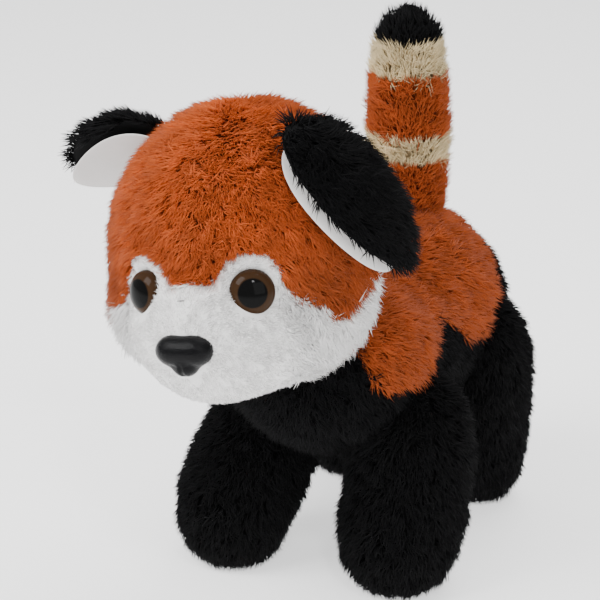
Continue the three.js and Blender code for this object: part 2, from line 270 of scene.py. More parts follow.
def grid_faces(around, along):
    """Faces and UVs of a closed grid of rings between two poles."""
    faces, uvs = [], []
    last = 1 + around * (along - 1)
    for i in range(around):
        j = (i + 1) % around
        u0, u1 = i / around, (i + 1) / around
        faces.append((0, 1 + i, 1 + j))
        uvs.append(((u0 + u1) / 2, 1.0, u0, 1 - 1 / along, u1, 1 - 1 / along))
        for ring in range(along - 2):
            a = 1 + ring * around
            b = a + around
            v0, v1 = 1 - (ring + 1) / along, 1 - (ring + 2) / along
            faces.append((a + i, b + i, b + j, a + j))
            uvs.append((u0, v0, u0, v1, u1, v1, u1, v0))
        a = 1 + (along - 2) * around
        faces.append((a + i, last, a + j))
        uvs.append((u0, 1 / along, (u0 + u1) / 2, 0.0, u1, 1 / along))
    return faces, uvs


def flipped(uv):
    """A face's UV pairs in the other order."""
    pairs = [uv[k:k + 2] for k in range(0, len(uv), 2)]
    return tuple(number for pair in pairs[::-1] for number in pair)


class Skin:
    """A closed grid of points with its faces, UVs and normals, in millimetres."""

    def __init__(self, name, points, around, along):
        self.name = name
        self.points = points
        self.faces, self.uvs = grid_faces(around, along)
        self.normals = vertex_normals(points, self.faces)
        outward = ((points - points.mean(0)) * self.normals).sum()
        if outward < 0:
            self.faces = [face[::-1] for face in self.faces]
            self.uvs = [flipped(uv) for uv in self.uvs]
            self.normals = -self.normals


def vertex_normals(points, faces):
    normals = np.zeros_like(points)
    for size in (3, 4):
        chosen = np.array([f for f in faces if len(f) == size])
        if not len(chosen):
            continue
        corners = points[chosen]
        across = corners[:, 2] - corners[:, 0]
        other = corners[:, -1] - corners[:, 1] if size == 4 else corners[:, 1] - corners[:, 0]
        face = np.cross(across, other) if size == 4 else -np.cross(across, other)
        for k in range(size):
            np.add.at(normals, chosen[:, k], face)
    return unit(normals)


# Where each fabric lies
def face_angles(directions):
    """Degrees round the face axis from its top, on either side, and degrees out from it."""
    up = unit(np.array([0, 0, 1]) - FACE_AXIS * FACE_AXIS[2])
    left = np.cross(up, FACE_AXIS)
    out = np.degrees(np.arccos(np.clip(directions @ FACE_AXIS, -1, 1)))
    around = np.degrees(np.abs(np.arctan2(directions @ left, directions @ up)))
    return around, out


def outline_margin(directions, outline):
    """Degrees inside an outline round the face axis; negative outside it."""
    around, out = face_angles(directions)
    edge = np.array(outline, float)
    return np.interp(around, edge[:, 0], edge[:, 1]) - out


def head_fabric(local):
    """The share of white and of smooth panel at points in the head's own frame."""
    directions = unit(local)
    white = outline_margin(directions, WHITE_OUTLINE)
    panel = outline_margin(directions, PANEL_OUTLINE)
    return white, panel


def saddle_margin(points):
    """Millimetres above the seam between the orange back and the black belly."""
    local = points - TORSO_CENTRE
    around = np.degrees(np.arctan2(np.abs(local[:, 0]), -local[:, 1]))
    seam = np.array(SADDLE_SEAM, float)
    return points[:, 2] - np.interp(around, seam[:, 0], seam[:, 1])


def to_head(points):
    return (points - HEAD_CENTRE) @ HEAD_TURN


def from_head(local):
    return local @ HEAD_TURN.T + HEAD_CENTRE


def eye_direction(side):
    """Where an eye sits on the head."""
    return unit(np.array([side * 0.385, -0.92, -0.045]))


def eye_facing(side):
    """Which way an eye looks, in the head's own frame."""
    return unit(np.array([side * 0.44, -0.88, 0.18]))


def head_radius(directions):
    return blended(directions, HEAD_LUMPS, HEAD_BLEND)


def torso_radius(directions):
    return blended(directions, TORSO_LUMPS, TORSO_BLEND)


def unevenness(directions, piece):
    sizes = UNEVEN[piece]
    return sizes["height"] * waves(directions * sizes["ball"], sizes["wave"], sizes["seed"])


def make_head():
    directions = ball_directions(*GRIDS["head"])
    white, panel = head_fabric(directions)
    depth = PILE["orange"] + (PILE["cheek"] - PILE["orange"]) * ease(white, -SEAM_FADE, SEAM_FADE)
    # The cheeks' pile deepens slowly away from the smooth panel, the orange pile at once
    fade = np.where(white > 0, CHEEK_FADE, -SEAM_FADE)
    depth = depth + (PILE["panel"] - depth) * ease(panel, fade, SEAM_FADE)
    radius = head_radius(directions) - depth
    # Each eye is pulled into a shallow socket by its shank
    for side in (-1, 1):
        from_eye = np.linalg.norm(directions - eye_direction(side), axis=1) * SOCKET_REACH
        radius = radius - SOCKET_DEPTH * (1 - ease(from_eye, EYE_RADIUS - 1, EYE_RADIUS + 3))
    # The cheeks tuck in under the jaw, over the front of the saddle
    around, _ = face_angles(directions)
    radius = radius - CHEEK_TUCK * ease(around, 92, 112) * ease(-panel, 8, 24)
    # The muzzle's fill is a little uneven under the thin fabric
    radius = radius + unevenness(directions, "head")
    return Skin("head_skin", from_head(directions * radius[:, None]), *GRIDS["head"])


def make_torso():
    directions = ball_directions(*GRIDS["torso"])
    radius = torso_radius(directions) - PILE["black"]
    radius = radius + unevenness(directions, "torso")
    return Skin("torso_skin", TORSO_CENTRE + directions * radius[:, None], *GRIDS["torso"])


def limb_points(line, girths, around, along, depth, roundness):
    """Rings strung along a curve, with rounded ends, as in the solids but deeper by the pile."""
    path = curve_through(line)
    rows = []
    for ring in range(along + 1):
        theta = ring / along * math.pi
        t = (1 - math.cos(theta)) / 2
        at = np.array([np.interp(t, np.linspace(0, 1, len(path)), path[:, k]) for k in range(3)])
        k = min(int(t * (len(path) - 1)), len(path) - 2)
        tangent = unit(path[k + 1] - path[k])
        side = unit(np.array([1.0, 0, 0]) - tangent * tangent[0])
        front = np.cross(tangent, side)
        girth = np.interp(t, np.linspace(0, 1, len(girths)), girths) - depth
        end = max(0.0, 1 - abs(2 * t - 1) ** roundness) ** 0.5
        phi = np.arange(around) / around * 2 * math.pi
        at = at - tangent * (2 * t - 1) * depth
        circle = at + girth * end * (np.cos(phi)[:, None] * side + np.sin(phi)[:, None] * front)
        rows.append(circle if 0 < ring < along else at[None])
    points = np.vstack(rows)
    points[:, 2] = np.maximum(points[:, 2], SOLE_HEIGHT)
    return points


def make_limb(name, line, girths, depth, roundness):
    points = limb_points(line, girths, *GRIDS["limb"], depth, roundness)
    return Skin(name, points, *GRIDS["limb"])


def ear_frame(ear):
    y = unit(np.array(ear["lengthway"], float))
    z = np.array(ear["backward"], float)
    z = unit(z - y * (z @ y))
    return np.array([np.cross(y, z), y, z])


# How thick each layer's skin is, how far it lies behind the ear's middle, and how far inside its solid's edge
EAR_LAYERS = dict(
    back=dict(thickness=2.4, lift=0.8, shrink=2.6),
    lining=dict(thickness=2.6, lift=-3.2, shrink=0.6),
)
EAR_CUP = 3


def ear_layer(name, ear, layer):
    """An ear's layer: a rounded leaf that cups away from its black back."""
    around, along = GRIDS["ear"]
    sizes = ear[layer]
    thickness, lift, shrink = (EAR_LAYERS[layer][size] for size in ("thickness", "lift", "shrink"))
    middle = (sizes["start"] + sizes["end"]) / 2
    half_length = (sizes["end"] - sizes["start"]) / 2 - shrink
    half_width = sizes["width"] / 2 - shrink
    phi = np.arange(around) / around * 2 * math.pi
    rows = []
    for ring in range(along + 1):
        theta = ring / along * math.pi
        y = -math.cos(theta)
        x = np.cos(phi) * math.sin(theta)
        z = np.sin(phi) * math.sin(theta)
        across = sizes["aside"] + x * half_width * (1 - sizes["taper"] * y)
        lengthwise = np.full(around, middle + y * half_length)
        back = z * thickness / 2 + lift - EAR_CUP * x * x - ear["arch"] * y * y
        circle = np.column_stack([across, lengthwise, back])
        rows.append(circle if 0 < ring < along else circle[:1])
    local = np.vstack(rows) @ ear_frame(ear) + np.array(ear["place"], float)
    return Skin(name, from_head(local), around, along)


# Roots on a skin
def triangles_of(skin):
    corners, uvs = [], []
    for face, uv in zip(skin.faces, skin.uvs):
        corners.append(face[:3])
        uvs.append(uv[:6])
        if len(face) == 4:
            corners.append((face[0], face[2], face[3]))
            uvs.append(uv[:2] + uv[4:8])
    return np.array(corners), np.array(uvs).reshape(-1, 3, 2)


def scatter(skin, per_mm2, seed, keep):
    """Seeded root points on a skin with their normals and places on its unwrap."""
    rng = np.random.default_rng(seed)
    corners, uvs = triangles_of(skin)
    p = skin.points[corners]
    area = np.linalg.norm(np.cross(p[:, 1] - p[:, 0], p[:, 2] - p[:, 0]), axis=1) / 2
    count = int(area.sum() * per_mm2)
    chosen = np.searchsorted(np.cumsum(area), rng.random(count) * area.sum())
    chosen = np.clip(chosen, 0, len(area) - 1)
    a, b = rng.random(count), rng.random(count)
    flip = a + b > 1
    a[flip], b[flip] = 1 - a[flip], 1 - b[flip]
    share = np.column_stack([1 - a - b, a, b])[:, :, None]
    roots = (p[chosen] * share).sum(1)
    normals = unit((skin.normals[corners][chosen] * share).sum(1))
    places = (uvs[chosen] * share).sum(1)
    kept = keep(roots)
    return roots[kept], normals[kept], places[kept]


# What hides a root: the inside of another stuffed piece
HIDDEN_MARGIN = 1.0
HIDING_STEPS = 40


def in_head(points):
    local = to_head(points)
    distance = np.linalg.norm(local, axis=1)
    return distance < head_radius(unit(local)) - PILE["orange"] - HIDDEN_MARGIN


def in_torso(points):
    local = points - TORSO_CENTRE
    return np.linalg.norm(local, axis=1) < torso_radius(unit(local)) - PILE["black"] - HIDDEN_MARGIN


def in_limb(points, line, girths, depth):
    path = curve_through(line, HIDING_STEPS)
    inside = np.zeros(len(points), bool)
    for k, at in enumerate(path):
        t = k / (len(path) - 1)
        girth = np.interp(t, np.linspace(0, 1, len(girths)), girths)
        girth = girth * (1 - abs(2 * t - 1) ** LIMB_ROUNDNESS["leg"]) ** 0.5
        inside |= np.linalg.norm(points - at, axis=1) < girth - depth - HIDDEN_MARGIN
    return inside


# A coat of tufts. Each is a closed, bent, three-sided spindle of six triangles
TUFT_FACES = [(0, 2, 1), (0, 3, 2), (0, 1, 3), (1, 2, 4), (2, 3, 4), (3, 1, 4)]
UV_PATCH = 0.0015
PATCH_CORNERS = np.array([[math.cos(a), math.sin(a)] for a in (0.5, 2.6, 4.7)])
PATCH = np.vstack([[[0, 0]], PATCH_CORNERS, [[0.2, 0.2]]]) * UV_PATCH
TUFT_POINTS = 5
MOST_TUFTS = 32000
LOWEST_TUFT = 0.05
# How many locks there are to each tuft
LOCK_SHARE = 0.035
# A tuft starts under the skin, bends at its widest place and comes to a point
ROOT_DEPTH = 0.8
BEND_SHARE = 0.45
TIP_SHARE = 0.6


def spread(values, rng, share):
    return values * rng.uniform(1 - share, 1 + share, len(values))


def comb(roots, normals, lie, seed, stray):
    """Directions of the tufts: along the lie, gathered into small locks that stray from it."""
    rng = np.random.default_rng(seed)
    count = len(roots)
    number = max(1, int(count * LOCK_SHARE))
    centres = rng.choice(count, number, replace=False)
    tree = kdtree.KDTree(number)
    for k, c in enumerate(centres):
        tree.insert(Vector(roots[c]), k)
    tree.balance()
    nearest = np.array([tree.find(Vector(r))[1] for r in roots])
    lock = centres[nearest]
    swing = rng.normal(size=(number, 3)) * stray
    locks = unit(lie[centres] + swing)
    locks = locks[nearest]
    own = unit(0.5 * locks + 0.5 * unit(lie + rng.normal(size=(count, 3)) * 1.2 * stray))
    own = own - normals * (own * normals).sum(1, keepdims=True)
    toward = roots[lock] - roots
    return unit(own), toward, nearest, number


def tufts(roots, normals, lie, lengths, width, tints, seed, stray=0.65, rise=1.3, pull=0.14,
          shade=0.62, patchy=0.12):
    """Vertices (N, 5, 3) and colours (N, 5, 3) of a coat.

    Stray is how far tufts leave the lie, rise how far they stand up and pull how far they gather
    into locks. Shade is how light the roots are painted, as painted shade in the gaps between
    tufts, and patchy how much the colour varies.
    """
    rng = np.random.default_rng(seed + 1)
    count = len(roots)
    own, toward, nearest, number = comb(roots, normals, lie, seed, stray)
    lock_length = rng.uniform(0.82, 1.12, number)[nearest]
    lock_tint = 1 + patchy * rng.uniform(-0.8, 0.8, number)[nearest]
    lengths = spread(np.broadcast_to(lengths, count).astype(float), rng, 0.16) * lock_length
    lift = spread(np.broadcast_to(rise, count).astype(float), rng, 0.25)[:, None]
    first = unit(normals * (lift + 0.5) + own * (1 - lift * 0.3))
    last = unit(normals * lift * 0.55 + own)
    base = roots - normals * ROOT_DEPTH
    middle = base + first * (lengths * BEND_SHARE)[:, None]
    tip = middle + last * (lengths * TIP_SHARE)[:, None]
    gather = (pull * rng.uniform(0.6, 1.3, count))[:, None]
    middle = middle + toward * gather * 0.35
    tip = tip + toward * gather
    axis = unit(tip - base)
    side = unit(np.cross(axis, rng.normal(size=(count, 3))))
    front = np.cross(axis, side)
    half = (spread(np.full(count, width), rng, 0.25) / 2)[:, None]
    points = np.empty((count, TUFT_POINTS, 3))
    points[:, 0] = base
    for k in range(3):
        angle = k * 2 * math.pi / 3
        points[:, 1 + k] = middle + (side * math.cos(angle) + front * math.sin(angle)) * half
    points[:, 4] = tip
    patch = 1 + patchy * waves(roots, 11, seed + 2)
    tone = (spread(np.ones(count), rng, 0.07) * lock_tint * patch)[:, None]
    colours = np.empty((count, TUFT_POINTS, 3))
    # Painted shade and light: the roots are painted darker, for the shade in the gaps between tufts, and the
    # middle and tip lighter, as if lit
    colours[:, 0] = tints * tone * shade
    colours[:, 1:4] = (tints * tone * (0.35 + 0.65 * shade + 0.2))[:, None]
    colours[:, 4] = tints * tone * 1.05
    return points, colours


def mesh_object(name, points, loops, starts, totals, uvs, colours, material):
    mesh = bpy.data.meshes.new(name)
    mesh.vertices.add(len(points))
    mesh.vertices.foreach_set("co", np.ascontiguousarray(row(points), np.float32).ravel())
    mesh.loops.add(len(loops))
    mesh.loops.foreach_set("vertex_index", np.ascontiguousarray(loops, np.int32))
    mesh.polygons.add(len(starts))
    mesh.polygons.foreach_set("loop_start", np.ascontiguousarray(starts, np.int32))
    mesh.polygons.foreach_set("loop_total", np.ascontiguousarray(totals, np.int32))
    mesh.polygons.foreach_set("use_smooth", np.ones(len(starts), bool))
    layer = mesh.uv_layers.new(name="OFBake")
    layer.data.foreach_set("uv", np.ascontiguousarray(uvs, np.float32).ravel())
    tint = mesh.color_attributes.new("tint", "FLOAT_COLOR", "POINT")
    rgba = np.column_stack([colours, np.ones(len(colours))])
    tint.data.foreach_set("color", np.ascontiguousarray(rgba, np.float32).ravel())
    mesh.update(calc_edges=True)
    mesh.validate()
    mesh.materials.append(material)
    piece = bpy.data.objects.new(name, mesh)
    bpy.context.scene.collection.objects.link(piece)
    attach(piece, "root")
    return piece


def coat_objects(name, coat, places, material):
    """Makes a coat's meshes, each of a limited size."""
    points, colours = coat
    points[..., 2] = np.maximum(points[..., 2], LOWEST_TUFT)
    pieces = math.ceil(len(points) / MOST_TUFTS)
    flat = np.concatenate([np.array(f) for f in TUFT_FACES])
    totals = np.array([len(f) for f in TUFT_FACES])
    for k in range(pieces):
        part = slice(k * len(points) // pieces, (k + 1) * len(points) // pieces)
        p, c, uv = points[part], colours[part], places[part]
        count = len(p)
        loops = (np.arange(count)[:, None] * TUFT_POINTS + flat).ravel()
        sizes = np.tile(totals, count)
        starts = np.concatenate([[0], np.cumsum(sizes)[:-1]])
        loop_uv = (uv[:, None] + PATCH[flat][None]).reshape(-1, 2)
        title = name if pieces == 1 else f"{name}_{k + 1}"
        piece = mesh_object(title, p.reshape(-1, 3), loops, starts, sizes, loop_uv, c.reshape(-1, 3),
                            material)


def skin_piece(skin, colours, material, nodes):
    """A skin's piece, in place of the solids that it stands for."""
    loops = np.concatenate([np.array(f) for f in skin.faces])
    sizes = np.array([len(f) for f in skin.faces])
    starts = np.concatenate([[0], np.cumsum(sizes)[:-1]])
    uvs = np.concatenate([np.array(uv) for uv in skin.uvs]).reshape(-1, 2)
    piece = mesh_object(skin.name, skin.points, loops, starts, sizes, uvs, colours, material)
    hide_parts(*nodes)
    return piece


def stuffed_piece(skin, colours, material, nodes):
    piece = skin_piece(skin, colours, material, nodes)


# Materials. Fabrics and eyes take their colour from the tint on the mesh
PILE_GRAIN = 1400


def new_material(name):
    material = bpy.data.materials.new(name)
    material.use_nodes = True
    nodes, links = material.node_tree.nodes, material.node_tree.links
    return material, nodes, links, nodes["Principled BSDF"]


def pile_material(name, roughness, sheen, specular):
    """Tufted pile or its backing: the mesh's own tint, broken up by fine grain."""
    material, nodes, links, shader = new_material(name)
    tint = nodes.new("ShaderNodeAttribute")
    tint.attribute_name = "tint"
    place = nodes.new("ShaderNodeTexCoord")
    noise = nodes.new("ShaderNodeTexNoise")
    noise.inputs["Scale"].default_value = PILE_GRAIN
    noise.inputs["Detail"].default_value = 2
    level = nodes.new("ShaderNodeMapRange")
    level.inputs["To Min"].default_value = 0.8
    level.inputs["To Max"].default_value = 1.15
    product = nodes.new("ShaderNodeVectorMath")
    product.operation = "MULTIPLY"
    links.new(place.outputs["Object"], noise.inputs["Vector"])
    links.new(noise.outputs["Fac"], level.inputs["Value"])
    links.new(tint.outputs["Color"], product.inputs[0])
    links.new(level.outputs["Result"], product.inputs[1])
    links.new(product.outputs["Vector"], shader.inputs["Base Color"])
    shader.inputs["Roughness"].default_value = roughness
    shader.inputs["Specular IOR Level"].default_value = specular
    shader.inputs["Sheen Weight"].default_value = sheen
    shader.inputs["Sheen Roughness"].default_value = 0.5
    return material


def minky_material():
    """The short smooth plush of the face and the ear linings."""
    material, nodes, links, shader = new_material("short_plush")
    tint = nodes.new("ShaderNodeAttribute")
    tint.attribute_name = "tint"
    place = nodes.new("ShaderNodeTexCoord")
    noise = nodes.new("ShaderNodeTexNoise")
    noise.inputs["Scale"].default_value = 900
    noise.inputs["Detail"].default_value = 3
    blotch = nodes.new("ShaderNodeTexNoise")
    blotch.inputs["Scale"].default_value = 160
    level = nodes.new("ShaderNodeMapRange")
    level.inputs["To Min"].default_value = 0.92
    level.inputs["To Max"].default_value = 1.03
    product = nodes.new("ShaderNodeVectorMath")
    product.operation = "MULTIPLY"
    bump = nodes.new("ShaderNodeBump")
    bump.inputs["Strength"].default_value = 0.35
    bump.inputs["Distance"].default_value = 0.0005
    for texture in (noise, blotch):
        links.new(place.outputs["Object"], texture.inputs["Vector"])
    links.new(blotch.outputs["Fac"], level.inputs["Value"])
    links.new(tint.outputs["Color"], product.inputs[0])
    links.new(level.outputs["Result"], product.inputs[1])
    links.new(product.outputs["Vector"], shader.inputs["Base Color"])
    links.new(noise.outputs["Fac"], bump.inputs["Height"])
    links.new(bump.outputs["Normal"], shader.inputs["Normal"])
    shader.inputs["Roughness"].default_value = 0.85
    shader.inputs["Specular IOR Level"].default_value = 0.2
    shader.inputs["Sheen Weight"].default_value = 0.25
    shader.inputs["Sheen Roughness"].default_value = 0.4
    return material


long_pile = pile_material("long_plush", roughness=0.85, sheen=0.04, specular=0.15)
black_pile = pile_material("black_plush", roughness=0.8, sheen=0.0, specular=0.12)
short_pile = minky_material()


def fabric_at_head(points):
    """Colour of the head's fabric at points in the toy's frame, for skin and coat alike."""
    white, _ = head_fabric(to_head(points))
    return np.where((white > 0)[:, None], COLOURS["white"], COLOURS["orange"])


def fabric_at_torso(points):
    above = saddle_margin(points)
    # The saddle's orange carries its painted shade
    return np.where((above > 0)[:, None], COLOURS["orange"] * SADDLE_PAINTED_SHADE, COLOURS["black"])


def fabric_at_tail(points):
    edges = [band[0] for band in TAIL_BANDS[:-1]]
    tints = np.array([COLOURS[band[1]] for band in TAIL_BANDS])
    return tints[np.searchsorted(edges, points[:, 2])]


def tail_painted_shade(tints):
    """The tail's orange, painted with the same painted shade as the saddle's."""
    orange = np.all(np.isclose(tints, COLOURS["orange"]), axis=1)
    return tints * np.where(orange, SADDLE_PAINTED_SHADE, 1.0)[:, None]


def tangent_to(normals, directions):
    flat = directions - normals * (directions * normals).sum(1, keepdims=True)
    return unit(flat)


# How thickly the roots stand, per square millimetre
DENSITY = dict(head=5.6, face=4.2, torso=4.4, leg=3.3, tail=5.0, ear=5.0)

# The head. Its long pile gives way to fuzz this many degrees inside the panel's outline
PANEL_EDGE = 0.6
head = make_head()
head_tint = fabric_at_head(head.points)
head_white, _ = head_fabric(to_head(head.points))
# The orange backing is painted darker, as painted shade under the pile; the white is not
head_tint = head_tint * np.where(head_white > 0, 1.0, SKIN_PAINTED_SHADE["head"])[:, None]
stuffed_piece(head, head_tint, short_pile,
              ["head_cap", "face_panel", "cheek_left", "cheek_right"])


def head_coat():
    def keep(points):
        white, panel = head_fabric(to_head(points))
        return ((panel < PANEL_EDGE) | (white < 0)) & ~in_torso(points)

    roots, normals, places = scatter(head, DENSITY["head"], seed=11, keep=keep)
    local = to_head(roots)
    white, panel = head_fabric(local)
    side = np.tanh(local[:, 0] / 16)
    orange_lie = np.column_stack([0.5 * side, np.full(len(roots), -0.15), np.full(len(roots), -1.0)])
    # The cheeks' pile runs down and back, and spreads away from the face towards the rim
    away = unit(local) - FACE_AXIS * (unit(local) @ FACE_AXIS)[:, None]
    rim = ease(face_angles(unit(local))[0], 86, 104)[:, None]
    white_lie = unit(away) * (0.1 + rim) + np.array([0, 0.3, -0.8])
    is_white = white > 0
    lie = tangent_to(normals, np.where(is_white[:, None], white_lie, orange_lie) @ HEAD_TURN.T)
    # Orange pile is shorter beside the seam, and white pile beside the smooth panel
    orange_length = LENGTH["seam"] + LENGTH["seam_slope"] * np.maximum(0, -white)
    orange_length = np.minimum(LENGTH["orange"], orange_length)
    white_length = LENGTH["panel_edge"] + LENGTH["cheek"] * ease(-panel, 0, 16)
    white_length = white_length + LENGTH["rim"] * ease(-panel, 20, 34)
    rise = 1.3 - 0.6 * ease(-panel, 18, 32) * is_white
    # Painted shade: the orange is painted darker where it runs down the side of the face, under the ear,
    # where the ear shades it
    orange_with_painted_shade = np.outer(1 - 0.3 * ease(face_angles(unit(local))[0], 40, 62), COLOURS["orange"])
    white_tint = np.tile(COLOURS["white"], (len(roots), 1))
    for name, chosen, tint, length, slot, patchy in (
            ("head_coat_orange", ~is_white, orange_with_painted_shade, orange_length, "orange_plush", 0.12),
            ("head_coat_white", is_white, white_tint, white_length, "white_plush", 0.06)):
        coat = tufts(roots[chosen], normals[chosen], lie[chosen], length[chosen], TUFT_WIDTH, tint[chosen],
                     seed=21, rise=rise[chosen], shade=0.8, patchy=patchy)
        coat_objects(name, coat, places[chosen], long_pile)


head_coat()


# No fuzz grows under the eyes, the mouth's stitch and the nose: their directions, how far out they
# lie on the head, and how far round each the panel is bare
BARE_PLACES = [
    (eye_direction(-1), 38, EYE_RADIUS - 0.6),
    (eye_direction(1), 38, EYE_RADIUS - 0.6),
    (unit(np.array([1.2, NOSE_CENTRE[1], -21.2])), 53, 1.9),
    (unit(NOSE_CENTRE + np.array([0, 3, 0])), 50, 5.5),
]


def face_fuzz():
    """The smooth panel's own short pile."""
    def keep(points):
        local = to_head(points)
        _, panel = head_fabric(local)
        shown = (panel >= PANEL_EDGE) & ~in_torso(points)
        for direction, out, bare in BARE_PLACES:
            shown &= np.linalg.norm(unit(local) - direction, axis=1) * out > bare
        return shown

    roots, normals, places = scatter(head, DENSITY["face"], seed=13, keep=keep)
    local = to_head(roots)
    away = unit(local) - unit(NOSE_CENTRE) * (unit(local) @ unit(NOSE_CENTRE))[:, None]
    lie = tangent_to(normals, (unit(away) + np.array([0, 0.2, -0.2])) @ HEAD_TURN.T)
    tints = np.tile(COLOURS["white"], (len(roots), 1))
    coat = tufts(roots, normals, lie, LENGTH["face"], FACE_WIDTH, tints,
                 seed=23, stray=0.5, rise=0.7, pull=0.1, shade=0.95, patchy=0.02)
    coat_objects("face_fuzz", coat, places, long_pile)


face_fuzz()

# The torso
torso = make_torso()
# The skin is painted darker than its pile, as painted shade, and its orange carries the saddle's painted
# shade
stuffed_piece(torso, fabric_at_torso(torso.points) * SKIN_PAINTED_SHADE["torso"], long_pile,
              ["torso_saddle", "torso_belly"])


def torso_coat():
    def keep(points):
        hidden = in_head(points)
        for line, girths in LEGS.values():
            hidden |= in_limb(points, line, girths, PILE["black"])
        hidden |= in_limb(points, TAIL_LINE, TAIL_GIRTHS, PILE["tail"])
        return ~hidden

    roots, normals, places = scatter(torso, DENSITY["torso"], seed=12, keep=keep)
    is_orange = saddle_margin(roots) > 0
    side = np.tanh(roots[:, 0] / 8)
    lie = np.column_stack([0.5 * side, np.where(is_orange, 0.55, 0.2), np.full(len(roots), -0.9)])
    lie = tangent_to(normals, lie)
    tints = fabric_at_torso(roots)
    for name, chosen, slot, material in (("torso_coat_orange", is_orange, "orange_plush", long_pile),
                                         ("torso_coat_black", ~is_orange, "black_plush", black_pile)):
        coat = tufts(roots[chosen], normals[chosen], lie[chosen], LENGTH["torso"], COARSE_WIDTH,
                     tints[chosen], seed=22, shade=0.8)
        coat_objects(name, coat, places[chosen], material)


torso_coat()

# The legs
for number, (leg, (line, girths)) in enumerate(LEGS.items()):
    skin = make_limb(f"{leg}_skin", line, girths, PILE["black"], LIMB_ROUNDNESS["leg"])
    black = np.tile(COLOURS["black"], (len(skin.points), 1))
    # The skin is painted darker than its pile, as painted shade
    stuffed_piece(skin, black * SKIN_PAINTED_SHADE["leg"], black_pile, [leg])

    def keep_leg(points):
        hidden = in_torso(points) | in_head(points) | (points[:, 2] < SOLE_HEIGHT + 0.3)
        for other, (other_line, other_girths) in LEGS.items():
            if other != leg:
                hidden |= in_limb(points, other_line, other_girths, PILE["black"])
        return ~hidden

    roots, normals, places = scatter(skin, DENSITY["leg"], seed=31 + number, keep=keep_leg)
    down = np.tile(np.array([0.0, -0.1, -1.0]), (len(roots), 1))
    outward = normals * np.array([1, 1, 0])
    lie = tangent_to(normals, down + 0.6 * outward)
    tints = np.tile(COLOURS["black"], (len(roots), 1))
    coat = tufts(roots, normals, lie, LENGTH["leg"], COARSE_WIDTH, tints, seed=41 + number)
    coat_objects(f"{leg}_coat", coat, places, black_pile)

# The tail
tail = make_limb("tail_skin", TAIL_LINE, TAIL_GIRTHS, PILE["tail"], LIMB_ROUNDNESS["tail"])
# The skin is painted darker than its pile, as painted shade, and its orange carries the saddle's painted
# shade
tail_skin_tint = tail_painted_shade(fabric_at_tail(tail.points)) * SKIN_PAINTED_SHADE["tail"]
stuffed_piece(tail, tail_skin_tint, long_pile,
              ["tail_base", "tail_ring_lower", "tail_middle", "tail_ring_upper", "tail_tip"])
roots, normals, places = scatter(tail, DENSITY["tail"], seed=51, keep=lambda points: ~in_torso(points))
up_tail = tangent_to(normals, np.tile(np.array([0.0, 0.0, 1.0]), (len(roots), 1)))
tail_tint = fabric_at_tail(roots + np.array([0, 0, 1.5]))
for name, colour, slot, material in (("tail_coat_orange", "orange", "orange_plush", long_pile),
                                     ("tail_coat_cream", "cream", "cream_plush", long_pile),
                                     ("tail_coat_black", "black", "black_plush", black_pile)):
    chosen = np.all(np.isclose(tail_tint, COLOURS[colour]), axis=1)
    # The orange tufts carry the saddle's painted shade
    coat = tufts(roots[chosen], normals[chosen], up_tail[chosen], LENGTH["tail"], TUFT_WIDTH,
                 tail_painted_shade(tail_tint[chosen]), seed=61)
    coat_objects(name, coat, places[chosen], material)

# The ears
def make_ear(name, ear, seed):
    skin = ear_layer(f"{name}_skin", ear, "back")
    black = np.tile(COLOURS["black"], (len(skin.points), 1))
    # The skin is painted darker than its pile, as painted shade
    stuffed_piece(skin, black * SKIN_PAINTED_SHADE["ear"], black_pile, [name])
    turn = ear_frame(ear) @ HEAD_TURN.T
    lengthway, backward = turn[1], turn[2]
    roots, normals, places = scatter(skin, DENSITY["ear"], seed=seed, keep=lambda points: ~in_head(points))
    # The black pile wraps round the ear's far edge and stops short of the edge where the lining shows
    middle = from_head(np.array(ear["place"]) + 18 * ear_frame(ear)[1])
    aside = (roots - middle) @ turn[0] / (ear["back"]["width"] / 2)
    outer = (normals @ backward) > -0.35 + 0.85 * aside
    roots, normals, places, aside = roots[outer], normals[outer], places[outer], aside[outer]
    from_middle = unit(roots - middle) - np.maximum(aside, 0)[:, None] * turn[0]
    lie = tangent_to(normals, np.tile(lengthway, (len(roots), 1)) * 0.8 + from_middle * 0.7)
    tints = np.tile(COLOURS["black"], (len(roots), 1))
    coat = tufts(roots, normals, lie, LENGTH["ear"], TUFT_WIDTH, tints, seed=seed + 10, stray=0.55, rise=0.9)
    coat_objects(f"{name}_coat", coat, places, black_pile)
    lining = ear_layer(f"{name}_lining_skin", ear, "lining")
    white = np.tile(COLOURS["lining"], (len(lining.points), 1))
    stuffed_piece(lining, white, short_pile, [f"{name}_lining"])


for number, (name, ear) in enumerate(EARS.items()):
    make_ear(name, ear, 71 + number)


# The eyes: a polished dome with a brown ring and a black pupil. The edges are shares of its radius
EYE_COLOURS = dict(
    pupil=np.array([0.003, 0.003, 0.003]),
    iris=np.array([0.034, 0.017, 0.008]),
    rim=np.array([0.03, 0.014, 0.006]),
)
PUPIL_EDGE = (0.62, 0.66)
RIM_EDGE = (0.88, 1.0)
# The share of a dome's rings that lie on its polished front
FRONT_SHARE = 0.75


def eye_material():
    material, nodes, links, shader = new_material("eye_plastic")
    tint = nodes.new("ShaderNodeAttribute")
    tint.attribute_name = "tint"
    links.new(tint.outputs["Color"], shader.inputs["Base Color"])
    shader.inputs["Roughness"].default_value = 0.07
    shader.inputs["Specular IOR Level"].default_value = 0.06
    return material


